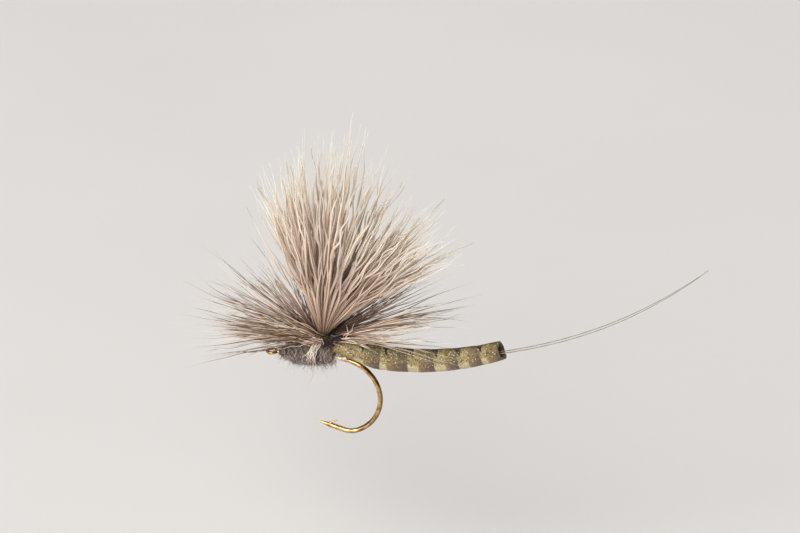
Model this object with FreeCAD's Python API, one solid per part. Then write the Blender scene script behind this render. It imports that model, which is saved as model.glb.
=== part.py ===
import FreeCAD, Part
import math
import os

from FreeCAD import Vector

# A mayfly dry fly tied on a short-shanked, wide-gape hook. Millimetres. The origin is the
# centre of the hook eye, +X runs along the shank to the tail and +Z is up the wing.

X_AXIS = Vector(1, 0, 0)
Y_AXIS = Vector(0, 1, 0)
Z_AXIS = Vector(0, 0, 1)
GOLDEN_ANGLE = math.pi * (3 - math.sqrt(5))

# Hook
WIRE_RADIUS = 0.26
EYE_WIRE_RADIUS = 0.17
EYE_RING_RADIUS = 0.48
EYE_BORE_RADIUS = 0.35
NECK_END_X = 1.5
SHANK_END_X = 6.89
BEND_ARCS = ((4.87, 29.4), (4.10, 125.7), (2.20, 39.4))
SPEAR_LENGTH = 1.44
POINT_LENGTH = 1.55
POINT_TIP_RADIUS = 0.02
BARB_LENGTH = 1.36
BARB_ROOT_RADIUS = 0.15
BARB_TIP_RADIUS = 0.02
BARB_RISE_DEG = 27.3
BARB_ADVANCE = 0.37

# Thread, all of it wound round the shank
THREAD = 0.08
BASE_START_X = NECK_END_X
BASE_END_X = 6.50
HEAD_START_X = 0.80
HEAD_RADIUS = 0.42
WHIP_START_X = 1.02
WHIP_END_X = 1.34
CEMENT_COAT = 0.03

# Wing post, of the butts of the wing hair
POST_X = 5.30
POST_RADIUS = 0.60
POST_TOP_Z = 2.36
BUTT_START_X = 2.60
BUTT_START_RADIUS = 0.18
BUTT_RADIUS = 0.44
BUTT_Z = 0.44
BUTT_WRAP_X = (3.40, 4.30)
BUTT_WRAP_RADIUS = 0.80
BUTT_WRAP_Z = 0.22
POST_WRAP_Z = (1.25, 1.80)
POST_CEMENT_Z = (1.82, 1.90)
STEM_Z = (1.92, 2.34)
STEM_RADIUS = 0.88

# Thorax, a spindle of dubbed fur that sits a little above the shank's axis
THORAX_X = (1.52, 3.60, 6.45)
THORAX_RADII = (0.55, 1.08, 0.74)
THORAX_Z = 0.18

# Abdomen, a printed film folded round a foam core, along an arc that curves up to the tail
FRONT_X = 6.82
REAR_X = 23.9
CURVE_X = 12.58
CURVE_Z = 30.17
CURVE_RADIUS = 29.63
ABDOMEN_RADIUS = 1.22
WIDEST_X = 10.2
FRONT_TAPER = 0.41
FRONT_TAPER_POWER = 2.0
REAR_TAPER = 0.28
REAR_TAPER_POWER = 1.8
ABDOMEN_SECTIONS = 14
FILM = 0.16
GLUE_GAP = 0.02
HOLLOW_END = 1.30
HOLLOW_MARGIN = 0.6
SLOT_END_X = 10.8
SLOT_HALF_WIDTH = WIRE_RADIUS + 0.10
SLOT_TOP_Z = WIRE_RADIUS + 0.10
SLOT_BOTTOM_Z = -2.0
TAG_X = (5.92, 6.52)
TAG_HALF_WIDTH = 0.38
TAG_TOP_Z = 0.88
TIE_WRAP_X = (5.94, 6.46)
TIE_WRAP_RADIUS = 0.70
TIE_WRAP_Z = 0.33
GLUE_DROP_X = 7.9
GLUE_DROP_BELOW_DEG = 20.0
GLUE_DROP_RADIUS = 0.26
GLUE_DROP_GAP = 0.08

# Tail, two fibres held by a drop of glue in the hollow end of the abdomen
PLUG_LENGTH = 0.35
TAIL_RADIUS = 0.10
TAIL_TIP_RADIUS = 0.035
TAIL_LENGTH = 24.5
TAIL_CURVE_RADIUS = 48.0
TAIL_START_Z = 2.24
TAIL_RISE_DEG = 14.0
TAIL_OFFSET = 0.22
TAIL_SPLAY_DEG = 3.2
TAIL_LIFT_DEG = 0.9
TAIL_STATIONS = 13

# Wing, a fan of hair over the post
WING_ROOT_Z = (2.52, 2.74)
WING_ROOT_RADIUS = 0.55
WING_HAIRS = 48
WING_HAIR_RADIUS = 0.058
WING_HAIR_TIP = 0.03
WING_HAIR_LENGTH = 20.8
WING_LENGTH_CHANGE = 0.07
WING_LENGTH_CYCLE = 3
WING_LEAN_X = (-22.0, 42.0)
WING_LEAN_Y = (-13.0, 25.0)
WING_SET_LIMIT = 0.33

# Hackle, a collar of hair wound round the post
HACKLE_STEPS = 20
HACKLE_TIERS = ((2.02, 0.0), (2.16, 9.0), (2.30, 18.0))
HACKLE_START_RADIUS = 0.93
HACKLE_HAIR_RADIUS = 0.055
HACKLE_HAIR_TIP = 0.025
HACKLE_LENGTH = 13.0
HACKLE_REAR_EXTRA = 1.8
HACKLE_REAR_LIFT = 17.0
HACKLE_NEAR_HALF_SECTOR = 55.0
HACKLE_FRONT_FROM = 135.0
HACKLE_REAR_TO = 45.0

HAIR_GAP = 0.04
CUT_MARGIN = 0.5


def cylinder(radius, start, end, axis):
    """A round bar from start to end, both distances along axis from the origin."""
    return Part.makeCylinder(radius, end - start, axis * start, axis)


def upright(radius, heights):
    """A round bar on the wing post's axis, between two heights."""
    foot = Vector(POST_X, 0, heights[0])
    return Part.makeCylinder(radius, heights[1] - heights[0], foot, Z_AXIS)


def lengthwise(radius, span, height):
    """A round bar along X at a height above the shank."""
    return Part.makeCylinder(radius, span[1] - span[0], Vector(span[0], 0, height), X_AXIS)


def circle_at(point, direction, radius):
    return Part.Wire(Part.makeCircle(radius, point, direction))


def heading(angle):
    """The wire's direction after the bend has turned it down by an angle in degrees."""
    turn = math.radians(angle)
    return Vector(math.cos(turn), 0, -math.sin(turn))


def hook():
    """Eye, neck, shank, three-arc bend, spear with a barb, and point."""
    ring = Part.makeTorus(EYE_RING_RADIUS, EYE_WIRE_RADIUS)
    neck_length = NECK_END_X - EYE_RING_RADIUS
    neck_start = Vector(EYE_RING_RADIUS, 0, 0)
    neck = Part.makeCone(EYE_WIRE_RADIUS, WIRE_RADIUS, neck_length, neck_start, X_AXIS)
    pieces = [neck, cylinder(WIRE_RADIUS, NECK_END_X, SHANK_END_X, X_AXIS)]
    place = Vector(SHANK_END_X, 0, 0)
    angle = 0.0
    for radius, turn in BEND_ARCS:
        down = Vector(-math.sin(math.radians(angle)), 0, -math.cos(math.radians(angle)))
        centre = place + down * radius
        section = Part.Face(circle_at(place, heading(angle), WIRE_RADIUS))
        pieces.append(section.revolve(centre, Y_AXIS, turn))
        angle += turn
        outward = Vector(math.sin(math.radians(angle)), 0, math.cos(math.radians(angle)))
        place = centre + outward * radius
    forward = heading(angle)
    pieces.append(Part.makeCylinder(WIRE_RADIUS, SPEAR_LENGTH, place, forward))
    point_start = place + forward * SPEAR_LENGTH
    pieces.append(Part.makeCone(WIRE_RADIUS, POINT_TIP_RADIUS, POINT_LENGTH, point_start, forward))
    rise = math.radians(BARB_RISE_DEG)
    barb_direction = Vector(math.cos(rise), 0, math.sin(rise))
    barb_root = point_start + forward * BARB_ADVANCE
    pieces.append(
        Part.makeCone(BARB_ROOT_RADIUS, BARB_TIP_RADIUS, BARB_LENGTH, barb_root, barb_direction)
    )
    whole = ring.multiFuse(pieces)
    bore = cylinder(EYE_BORE_RADIUS, -CUT_MARGIN, CUT_MARGIN, Z_AXIS)
    return whole.cut(bore).removeSplitter()


def wing_butts():
    """The butts laid forward along the shank, and the post that stands up from them."""
    length = POST_X - BUTT_START_X
    start = Vector(BUTT_START_X, 0, BUTT_Z)
    lying = Part.makeCone(BUTT_START_RADIUS, BUTT_RADIUS, length, start, X_AXIS)
    post = upright(POST_RADIUS, (0, POST_TOP_Z))
    return post.fuse(lying)


def body_tag():
    """The flattened front of the foam core, which the thread ties down on the shank."""
    size = (TAG_X[1] - TAG_X[0], 2 * TAG_HALF_WIDTH, TAG_TOP_Z)
    return Part.makeBox(*size, Vector(TAG_X[0], -TAG_HALF_WIDTH, 0))


def head_wraps():
    """A cone of thread behind the eye."""
    length = NECK_END_X - HEAD_START_X
    start = Vector(HEAD_START_X, 0, 0)
    return Part.makeCone(WIRE_RADIUS, HEAD_RADIUS, length, start, X_AXIS)


def band_over_head(thickness):
    """A sleeve over part of the head, whose cone it follows at a thickness."""
    slope = (HEAD_RADIUS - WIRE_RADIUS) / (NECK_END_X - HEAD_START_X)
    front = WIRE_RADIUS + slope * (WHIP_START_X - HEAD_START_X) + thickness
    rear = WIRE_RADIUS + slope * (WHIP_END_X - HEAD_START_X) + thickness
    length = WHIP_END_X - WHIP_START_X
    return Part.makeCone(front, rear, length, Vector(WHIP_START_X, 0, 0), X_AXIS)


def thorax():
    """A spindle turned about a line parallel to the shank."""
    front = Vector(THORAX_X[0], 0, THORAX_Z + THORAX_RADII[0])
    middle = Vector(THORAX_X[1], 0, THORAX_Z + THORAX_RADII[1])
    rear = Vector(THORAX_X[2], 0, THORAX_Z + THORAX_RADII[2])
    foot_front = Vector(THORAX_X[0], 0, THORAX_Z)
    foot_rear = Vector(THORAX_X[2], 0, THORAX_Z)
    edges = [
        Part.LineSegment(foot_front, front).toShape(),
        Part.Arc(front, middle, rear).toShape(),
        Part.LineSegment(rear, foot_rear).toShape(),
        Part.LineSegment(foot_rear, foot_front).toShape(),
    ]
    return Part.Face(Part.Wire(edges)).revolve(foot_front, X_AXIS, 360)


def curve_point(x):
    """The point of the abdomen's axis at a distance x."""
    return Vector(x, 0, CURVE_Z - math.sqrt(CURVE_RADIUS**2 - (x - CURVE_X) ** 2))


def curve_direction(x):
    rise = math.asin((x - CURVE_X) / CURVE_RADIUS)
    return Vector(math.cos(rise), 0, math.sin(rise))


def abdomen_radius(x):
    """The outer radius, which tapers both ways from the widest place."""
    if x < WIDEST_X:
        share = (WIDEST_X - x) / (WIDEST_X - FRONT_X)
        return ABDOMEN_RADIUS - FRONT_TAPER * share**FRONT_TAPER_POWER
    share = (x - WIDEST_X) / (REAR_X - WIDEST_X)
    return ABDOMEN_RADIUS - REAR_TAPER * share**REAR_TAPER_POWER


def abdomen_form(start, end, inset):
    """A bar along the abdomen's axis, its radius less by inset than the outside."""
    sections = []
    for index in range(ABDOMEN_SECTIONS):
        x = start + (end - start) * index / (ABDOMEN_SECTIONS - 1)
        sections.append(circle_at(curve_point(x), curve_direction(x), abdomen_radius(x) - inset))
    return Part.makeLoft(sections, True)


def hook_slot():
    """The slit in the abdomen's underside that straddles the wire."""
    start = FRONT_X - HOLLOW_MARGIN
    size = (SLOT_END_X - start, 2 * SLOT_HALF_WIDTH, SLOT_TOP_Z - SLOT_BOTTOM_Z)
    return Part.makeBox(*size, Vector(start, -SLOT_HALF_WIDTH, SLOT_BOTTOM_Z))


def glue_drop():
    """Half a ball on the film's near side, a little below the abdomen's axis."""
    below = math.radians(GLUE_DROP_BELOW_DEG)
    outward = Vector(0, -math.cos(below), -math.sin(below))
    seat = curve_point(GLUE_DROP_X) + outward * (abdomen_radius(GLUE_DROP_X) + GLUE_DROP_GAP)
    return Part.makeSphere(GLUE_DROP_RADIUS, seat, outward, 0, 90, 360)


def tail_fibre(side):
    """One fibre, an arc that rises from inside the hollow end. side is 1 for far, -1 for near."""
    place = Vector(REAR_X - HOLLOW_END + HAIR_GAP, side * TAIL_OFFSET, TAIL_START_Z)
    rise = math.radians(TAIL_RISE_DEG - side * TAIL_LIFT_DEG)
    splay = side * math.radians(TAIL_SPLAY_DEG)
    step = TAIL_LENGTH / (TAIL_STATIONS - 1)
    sections = []
    for index in range(TAIL_STATIONS):
        along = Vector(math.cos(rise) * math.cos(splay), math.sin(splay), math.sin(rise))
        share = index / (TAIL_STATIONS - 1)
        radius = TAIL_RADIUS * (1 - share) + TAIL_TIP_RADIUS * share
        sections.append(circle_at(place, along, radius))
        place = place + along * step
        rise += step / TAIL_CURVE_RADIUS
    return Part.makeLoft(sections, True, True)


def wing_sets():
    """The wing's hairs, spread from a sunflower pattern of roots, in a front, middle and rear set."""
    sets = {"wing_hair_front": [], "wing_hair_middle": [], "wing_hair_rear": []}
    middle_x = math.radians(sum(WING_LEAN_X) / 2)
    half_x = math.radians(WING_LEAN_X[1] - WING_LEAN_X[0]) / 2
    middle_y = math.radians(sum(WING_LEAN_Y) / 2)
    half_y = math.radians(WING_LEAN_Y[1] - WING_LEAN_Y[0]) / 2
    for index in range(WING_HAIRS):
        share = math.sqrt((index + 0.5) / WING_HAIRS)
        angle = index * GOLDEN_ANGLE
        u = share * math.cos(angle)
        v = share * math.sin(angle)
        root = Vector(
            POST_X + u * WING_ROOT_RADIUS, v * WING_ROOT_RADIUS, WING_ROOT_Z[1] + HAIR_GAP
        )
        lean = Vector(math.tan(middle_x + half_x * u), math.tan(middle_y + half_y * v), 1)
        length = WING_HAIR_LENGTH * (1 + WING_LENGTH_CHANGE * math.sin(WING_LENGTH_CYCLE * index))
        hair = Part.makeCone(WING_HAIR_RADIUS, WING_HAIR_TIP, length, root, lean)
        if u < -WING_SET_LIMIT:
            sets["wing_hair_front"].append(hair)
        elif u > WING_SET_LIMIT:
            sets["wing_hair_rear"].append(hair)
        else:
            sets["wing_hair_middle"].append(hair)
    return sets


def hackle_hair(azimuth, height, lift):
    """One hair that leaves the stem at an azimuth in degrees, 0 being towards the tail."""
    turn = math.radians(azimuth)
    towards_tail = math.cos(turn)
    rise = math.radians(lift + HACKLE_REAR_LIFT * max(0.0, towards_tail))
    outward = Vector(math.cos(turn), math.sin(turn), 0)
    root = outward * HACKLE_START_RADIUS + Vector(POST_X, 0, height)
    direction = outward * math.cos(rise) + Z_AXIS * math.sin(rise)
    length = HACKLE_LENGTH + HACKLE_REAR_EXTRA * towards_tail
    return Part.makeCone(HACKLE_HAIR_RADIUS, HACKLE_HAIR_TIP, length, root, direction)


def hackle_sets():
    """Tiers of hair round the post, thin on the near side, in four sets by where they point."""
    sets = {"hackle_front": [], "hackle_rear": [], "hackle_far": [], "hackle_near": []}
    for step in range(HACKLE_STEPS):
        azimuth = (step + 0.5) * 360 / HACKLE_STEPS - 180
        near = abs(azimuth + 90) < HACKLE_NEAR_HALF_SECTOR
        if abs(azimuth) > HACKLE_FRONT_FROM:
            name = "hackle_front"
        elif abs(azimuth) < HACKLE_REAR_TO:
            name = "hackle_rear"
        elif azimuth > 0:
            name = "hackle_far"
        else:
            name = "hackle_near"
        tiers = HACKLE_TIERS[:1] if near else HACKLE_TIERS
        for height, lift in tiers:
            sets[name].append(hackle_hair(azimuth, height, lift))
    return sets


def save(name, shape):
    shape.exportStep("parts/" + name + ".step")


def main():
    os.makedirs("parts", exist_ok=True)

    wire = hook()
    thread_base = cylinder(WIRE_RADIUS + THREAD, BASE_START_X, BASE_END_X, X_AXIS)
    bound = [wire, thread_base]
    butts = wing_butts().cut(thread_base)
    tag = body_tag().cut(bound + [butts])
    butt_wraps = lengthwise(BUTT_WRAP_RADIUS, BUTT_WRAP_X, BUTT_WRAP_Z).cut(bound + [butts])
    tie_wraps = lengthwise(TIE_WRAP_RADIUS, TIE_WRAP_X, TIE_WRAP_Z).cut(bound + [butts, tag])
    post_wraps = upright(POST_RADIUS + 2 * THREAD, POST_WRAP_Z).cut(butts)
    wound = [butts, tag, butt_wraps, tie_wraps, post_wraps]
    head = head_wraps()
    whip = band_over_head(THREAD)
    coat = band_over_head(THREAD + CEMENT_COAT)

    save("hook", wire)
    save("thread_base", thread_base.cut(wire))
    save("wing_butts", butts)
    save("body_tag", tag)
    save("butt_wraps", butt_wraps)
    save("body_tie_wraps", tie_wraps)
    save("post_wraps", post_wraps)
    save("post_cement", upright(POST_RADIUS + 2 * THREAD, POST_CEMENT_Z).cut(butts))
    save("hackle_stem", upright(STEM_RADIUS, STEM_Z).cut(butts))
    save("thorax_dubbing", thorax().cut(bound + wound))
    save("head_wraps", head.cut(wire))
    save("whip_finish", whip.cut(head))
    save("head_cement", coat.cut(whip))

    slot = hook_slot()
    outside = abdomen_form(FRONT_X, REAR_X, 0)
    hollow = abdomen_form(FRONT_X - HOLLOW_MARGIN, REAR_X + HOLLOW_MARGIN, FILM)
    core_end = REAR_X - HOLLOW_END - PLUG_LENGTH
    core = abdomen_form(FRONT_X, core_end, FILM + GLUE_GAP)
    plug = abdomen_form(core_end + GLUE_GAP, core_end + PLUG_LENGTH, FILM + GLUE_GAP)
    save("abdomen_film", outside.cut([hollow, slot]))
    save("abdomen_core", core.cut(slot))
    save("tail_glue", plug)
    save("hook_glue", glue_drop())
    save("tail_fibre_far", tail_fibre(1))
    save("tail_fibre_near", tail_fibre(-1))

    save("wing_root", upright(WING_ROOT_RADIUS, WING_ROOT_Z))
    for name, hairs in {**wing_sets(), **hackle_sets()}.items():
        save(name, Part.makeCompound(hairs))


main()
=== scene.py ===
import math

import bpy
import numpy as np
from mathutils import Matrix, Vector


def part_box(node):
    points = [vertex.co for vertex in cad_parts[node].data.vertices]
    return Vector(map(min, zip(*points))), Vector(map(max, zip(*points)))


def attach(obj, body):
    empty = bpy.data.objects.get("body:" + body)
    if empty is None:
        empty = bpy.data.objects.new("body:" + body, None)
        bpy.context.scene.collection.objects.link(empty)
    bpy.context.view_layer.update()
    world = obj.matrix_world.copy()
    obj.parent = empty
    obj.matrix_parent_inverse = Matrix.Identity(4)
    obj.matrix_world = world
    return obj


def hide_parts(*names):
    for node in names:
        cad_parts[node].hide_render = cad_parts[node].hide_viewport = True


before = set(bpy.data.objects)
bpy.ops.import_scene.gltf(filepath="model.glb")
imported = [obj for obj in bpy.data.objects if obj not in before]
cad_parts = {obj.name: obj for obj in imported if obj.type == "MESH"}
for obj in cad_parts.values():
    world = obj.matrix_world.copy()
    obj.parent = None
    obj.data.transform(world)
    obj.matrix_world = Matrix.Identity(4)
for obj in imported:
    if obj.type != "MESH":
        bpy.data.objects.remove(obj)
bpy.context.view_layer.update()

# Lengths below are in millimetres, in the CAD frame: the origin is the centre of the hook
# eye, +X runs to the tail and +Z is up the wing. Meshes are scaled to metres when made.
MM = 0.001


def node_box(node):
    """A CAD node's lowest and highest corner in millimetres."""
    low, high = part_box(node)
    return np.array(low) / MM, np.array(high) / MM


STEM_LOW, STEM_HIGH = node_box("hackle_stem")
THORAX_LOW, THORAX_HIGH = node_box("thorax_dubbing")
HEAD_LOW, HEAD_HIGH = node_box("head_wraps")
WHIP_LOW, WHIP_HIGH = node_box("whip_finish")
COAT_LOW, COAT_HIGH = node_box("head_cement")
WRAP_LOW, WRAP_HIGH = node_box("post_wraps")
GLUE_LOW, GLUE_HIGH = node_box("hook_glue")
HOOK_LOW, HOOK_HIGH = node_box("hook")
POST_X = (STEM_LOW[0] + STEM_HIGH[0]) / 2

# The abdomen's centre line, an arc in the XZ plane, and its taper from the widest place, the
# same as in the CAD source
ARC_X = 12.58
ARC_Z = 30.17
ARC_RADIUS = 29.63
ABDOMEN_X = (6.82, 23.9)
WIDEST_X = 10.2
WIDEST_RADIUS = 1.22
FRONT_TAPER = 0.41
REAR_TAPER = 0.28
REAR_TAPER_POWER = 1.8
# How far each taper goes, as shares of the way to the body's ends
TAPER_REACH = (1.2, 1.1)

rng = np.random.default_rng(20)


# Numbers and colours


def linear(colour):
    """A display colour of 0 to 255 per channel as scene-linear 0 to 1, by the sRGB curve."""
    c = np.asarray(colour, float) / 255
    return np.where(c <= 0.04045, c / 12.92, ((c + 0.055) / 1.055) ** 2.4)


def smooth(x, low, high):
    """0 below low, 1 above high, and an even S between them."""
    t = np.clip((x - low) / (high - low), 0, 1)
    return t * t * (3 - 2 * t)


def fall(x, low, high):
    """1 below low, 0 above high, and an even S between them."""
    return smooth(-x, -high, -low)


def unit(vectors):
    return vectors / np.linalg.norm(vectors, axis=-1, keepdims=True)


def xyz(x, y, z):
    """Three arrays of coordinates as one of points."""
    return np.stack([x, y, z], axis=-1)


def ramp(share, stops):
    """Colours at each share, from (position, display colour) stops."""
    places = [s[0] for s in stops]
    colours = np.array([linear(s[1]) for s in stops])
    return np.stack([np.interp(share, places, colours[:, c]) for c in range(3)], axis=-1)


def towards(tints, colour, share):
    """Tints moved part of the way to a display colour, by a share at each place."""
    return tints + (linear(colour) - tints) * share[..., None]


def brightness(kind, edges, *ranges):
    """A brightness for each hair, from one of three ranges by its kind of 0 to 1."""
    dark, middle, pale = (rng.uniform(*ends, len(kind)) for ends in ranges)
    return np.where(kind < edges[0], dark, np.where(kind > edges[1], pale, middle))


def wander(count, steps, reach, knot_count=5):
    """Slow random drift along each of many strands, zero at their roots: (count, steps, 3)."""
    knots = rng.normal(0, 1, (count, knot_count, 3))
    knots[:, 0] = 0
    at = np.linspace(0, knot_count - 1, steps)
    index = np.minimum(at.astype(int), knot_count - 2)
    part = smooth(at - index, 0, 1)[None, :, None]
    return reach * (knots[:, index] * (1 - part) + knots[:, index + 1] * part)


def column(low, high, count):
    """Random values between two, one for each strand, as a column."""
    return rng.uniform(low, high, (count, 1))


def walk(heading, length):
    """Paths from the origin along headings (n, k, 3), each of its own length."""
    moves = heading * (length[:, None, None] / (heading.shape[1] - 1))
    moves[:, 0] = 0
    return np.cumsum(moves, axis=1)


# Meshes


def add_object(name, data):
    made = bpy.data.objects.new(name, data)
    bpy.context.scene.collection.objects.link(made)
    return made


def add_tints(mesh, tints):
    """Gives a mesh one colour for each vertex, or one for them all."""
    colours = np.ones((len(mesh.vertices), 4), np.float32)
    colours[:, :3] = tints
    tint = mesh.color_attributes.new("tint", "FLOAT_COLOR", "POINT")
    tint.data.foreach_set("color", colours.ravel())


def add_mesh(name, points, loops, starts, tints):
    """A smooth-shaded object from flat arrays, with a colour for each vertex."""
    mesh = bpy.data.meshes.new(name)
    mesh.vertices.add(len(points))
    mesh.vertices.foreach_set("co", (points * MM).astype(np.float32).ravel())
    mesh.loops.add(len(loops))
    mesh.loops.foreach_set("vertex_index", loops.astype(np.int32))
    mesh.polygons.add(len(starts))
    mesh.polygons.foreach_set("loop_start", starts.astype(np.int32))
    mesh.update(calc_edges=True)
    mesh.shade_smooth()
    add_tints(mesh, tints)
    return add_object(name, mesh)


def tube_points(paths, radii, sides, normals):
    """Rings of points round each path: (n, k, sides, 3)."""
    along = unit(np.gradient(paths, axis=1))
    if normals is None:
        overall = paths[:, -1] - paths[:, 0]
        aside = np.cross(overall, rng.normal(0, 1, (len(paths), 3)))
        normals = np.repeat(aside[:, None], paths.shape[1], axis=1)
    normals = unit(normals - (normals * along).sum(2, keepdims=True) * along)
    other = np.cross(along, normals)
    turn = np.arange(sides) * 2 * math.pi / sides
    cos, sin = np.cos(turn)[:, None], np.sin(turn)[:, None]
    ring = normals[:, :, None] * cos + other[:, :, None] * sin
    return paths[:, :, None] + ring * radii[:, :, None, None]


def tube_faces(n, k, sides):
    """The corners of n tubes of k rings, closed by flat caps, and where each face starts."""
    index = np.arange(n * k * sides).reshape(n, k, sides)
    after = np.roll(index, -1, axis=2)
    quads = np.stack([index[:, :-1], after[:, :-1], after[:, 1:], index[:, 1:]], axis=-1)
    caps = np.concatenate([index[:, 0, ::-1], index[:, -1]])
    quad_starts = np.arange(quads.size // 4) * 4
    cap_starts = quads.size + np.arange(2 * n) * sides
    loops = np.concatenate([quads.reshape(-1), caps.reshape(-1)])
    return loops, np.concatenate([quad_starts, cap_starts])


def strands(name, groups):
    """One mesh of closed tapering tubes. Each group is (paths, radii, tints, sides, normals)
    with paths (n, k, 3), radii (n, k), tints (n, k, 3) and normals (n, k, 3) or None."""
    made = []
    point_base, loop_base = 0, 0
    for paths, radii, tints, sides, normals in groups:
        points = tube_points(paths, radii, sides, normals).reshape(-1, 3)
        loops, starts = tube_faces(*paths.shape[:2], sides)
        side_tints = np.repeat(tints[:, :, None], sides, axis=2).reshape(-1, 3)
        made.append((points, point_base + loops, loop_base + starts, side_tints))
        point_base += len(points)
        loop_base += len(loops)
    return add_mesh(name, *(np.concatenate(part) for part in zip(*made)))


def closed_form(name, rows, tints):
    """A closed skin over rows (r, c, 3) of points that go round, ended by flat caps."""
    loops, starts = tube_faces(1, *rows.shape[:2])
    return add_mesh(name, rows.reshape(-1, 3), loops, starts, tints.reshape(-1, 3))


def put(piece, body, material, slot, *nodes):
    """Gives a piece its material and body, and hides the CAD nodes that it stands for."""
    piece.data.materials.append(material)
    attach(piece, body)
    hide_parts(*nodes)


# Materials


# Most noise lies between these values
NOISE_RANGE = (0.3, 0.7)
# The colour sockets of a Mix node, whose names its other sockets share
MIX_FIRST, MIX_SECOND, MIX_RESULT = 6, 7, 2

# The middle arc of the hook's bend, and how far outside the wire's middle the painted shade on the
# bend's outside begins and is strongest, and how strong it gets
WIRE_RADIUS = 0.26
BEND_RADIUS = 4.10
BEND_X = float(HOOK_HIGH[0]) - WIRE_RADIUS - BEND_RADIUS
BEND_Z = -4.20
OUTER_SHADE_FROM = 0.02
OUTER_SHADE_TO = 0.18
OUTER_SHADE_STRENGTH = 0.80

# The heights where the bend turns into the shank, and where the shank's pale patch fades in and
# out:
# partly glue and partly a painted highlight of the lit wire
SHANK_UNDERSIDE = (-0.75, -0.55)
SHANK_PALE_FROM = (6.30, 6.45)
SHANK_PALE_TO = (7.25, 7.75)


class Nodes:
    """A short way to write a material's nodes. Scales are per millimetre."""

    def __init__(self, name, **values):
        self.material = bpy.data.materials.new(name)
        self.material.use_nodes = True
        self.tree = self.material.node_tree
        self.shader = self.tree.nodes["Principled BSDF"]
        for key, value in values.items():
            label = key.replace("_", " ").title().replace("Ior", "IOR")
            self.shader.inputs[label].default_value = value
        self.place = self.make("ShaderNodeTexCoord", "Object", {})

    def feed(self, source, socket):
        """Links a source to a socket, or sets the socket to it where it is a plain value."""
        if isinstance(source, bpy.types.NodeSocket):
            self.tree.links.new(source, socket)
        else:
            socket.default_value = source

    def make(self, kind, output, sources, **settings):
        """One output of a new node with the given sources and settings."""
        node = self.tree.nodes.new(kind)
        for key, value in settings.items():
            setattr(node, key, value)
        for key, source in sources.items():
            self.feed(source, node.inputs[key])
        return node.outputs[output]

    def stretched(self, scale):
        """Coordinates scaled by one number, or by one for each axis, per millimetre."""
        sources = {"Scale": list(np.full(3, scale) / MM), "Vector": self.place}
        return self.make("ShaderNodeMapping", "Vector", sources)

    def noise(self, scale, detail=3.0, roughness=0.6):
        """Noise of 0 to 1."""
        sources = {"Scale": 1.0, "Detail": detail, "Roughness": roughness}
        sources["Vector"] = self.stretched(scale)
        return self.make("ShaderNodeTexNoise", "Fac", sources)

    def cells(self, scale):
        """The distance from the middle of the nearest of many cells."""
        sources = {"Scale": 1.0, "Vector": self.stretched(scale)}
        return self.make("ShaderNodeTexVoronoi", "Distance", sources)

    def spread(self, value, low, high, to_low=0.0, to_high=1.0):
        """Maps low to high onto to_low to to_high, held at both ends."""
        sources = {"From Min": low, "From Max": high, "To Min": to_low, "To Max": to_high}
        return self.make("ShaderNodeMapRange", "Result", {"Value": value, **sources})

    def vary(self, scale, low, high, detail=3.0, roughness=0.6):
        """Noise that goes from low to high."""
        return self.spread(self.noise(scale, detail, roughness), *NOISE_RANGE, low, high)

    def colours(self, value, stops):
        colour_output = self.make("ShaderNodeValToRGB", "Color", {"Fac": value})
        band = colour_output.node.color_ramp
        while len(band.elements) < len(stops):
            band.elements.new(0.5)
        for element, (position, colour) in zip(band.elements, stops):
            element.position = position
            element.color = (*linear(colour), 1)
        return colour_output

    def mix(self, a, b, factor):
        """Colour a mixed by a factor with b, which is another one or a display colour."""
        b = b if isinstance(b, bpy.types.NodeSocket) else (*linear(b), 1)
        sources = {"Factor": factor, MIX_FIRST: a, MIX_SECOND: b}
        return self.make("ShaderNodeMix", MIX_RESULT, sources, data_type="RGBA")

    def math(self, operation, a, b=0.0):
        return self.make("ShaderNodeMath", "Value", {0: a, 1: b}, operation=operation)

    def times(self, a, b):
        return self.math("MULTIPLY", a, b)

    def scaled(self, colour, value):
        """A colour times a number at each place."""
        sources = {"Vector": colour, "Scale": value}
        return self.make("ShaderNodeVectorMath", "Vector", sources, operation="SCALE")

    def attribute(self, name, output):
        return self.make("ShaderNodeAttribute", output, {}, attribute_name=name)

    def tint(self):
        return self.attribute("tint", "Color")

    def along(self, axis):
        """The place along one axis, in millimetres."""
        return self.make("ShaderNodeSeparateXYZ", axis, {"Vector": self.stretched(1)})

    def base(self, colour):
        self.feed(colour, self.shader.inputs["Base Color"])

    def rough(self, value):
        self.feed(value, self.shader.inputs["Roughness"])

    def metallic(self, value):
        self.feed(value, self.shader.inputs["Metallic"])

    def bump(self, height, strength, depth):
        """Bumps of a depth in millimetres."""
        sources = {"Height": height, "Strength": strength, "Distance": depth * MM}
        self.feed(self.make("ShaderNodeBump", "Normal", sources), self.shader.inputs["Normal"])


def hair_material(name, roughness, fleck):
    """Hair coloured along its length by its vertices, with flecks and small scales."""
    m = Nodes(name, sheen_weight=0.04, specular_ior_level=0.28)
    flecks = m.spread(m.noise(2.2, 4.0, 0.7), 0.25, 0.75, 1 - fleck, 1 + fleck)
    scales = m.vary(14.0, 1 - fleck / 2, 1 + fleck / 2, 2.0)
    m.base(m.scaled(m.tint(), m.times(flecks, scales)))
    m.rough(m.vary(5.0, roughness - 0.1, roughness + 0.12))
    m.bump(m.noise(26.0, 2.0), 0.5, 0.012)
    return m.material


def outer_bend_shade(m):
    """How strong the painted shade is: strongest along the outside of the bend."""
    off_x = m.math("SUBTRACT", m.along("X"), BEND_X)
    off_z = m.math("SUBTRACT", m.along("Z"), BEND_Z)
    off_squared = m.math("ADD", m.math("POWER", off_x, 2.0), m.math("POWER", off_z, 2.0))
    off = m.math("SQRT", off_squared)
    outer_shade = m.spread(off, BEND_RADIUS + OUTER_SHADE_FROM, BEND_RADIUS + OUTER_SHADE_TO, 0.0, OUTER_SHADE_STRENGTH)
    return m.times(outer_shade, m.spread(m.along("Z"), *SHANK_UNDERSIDE, 1.0, 0.0))


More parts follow.
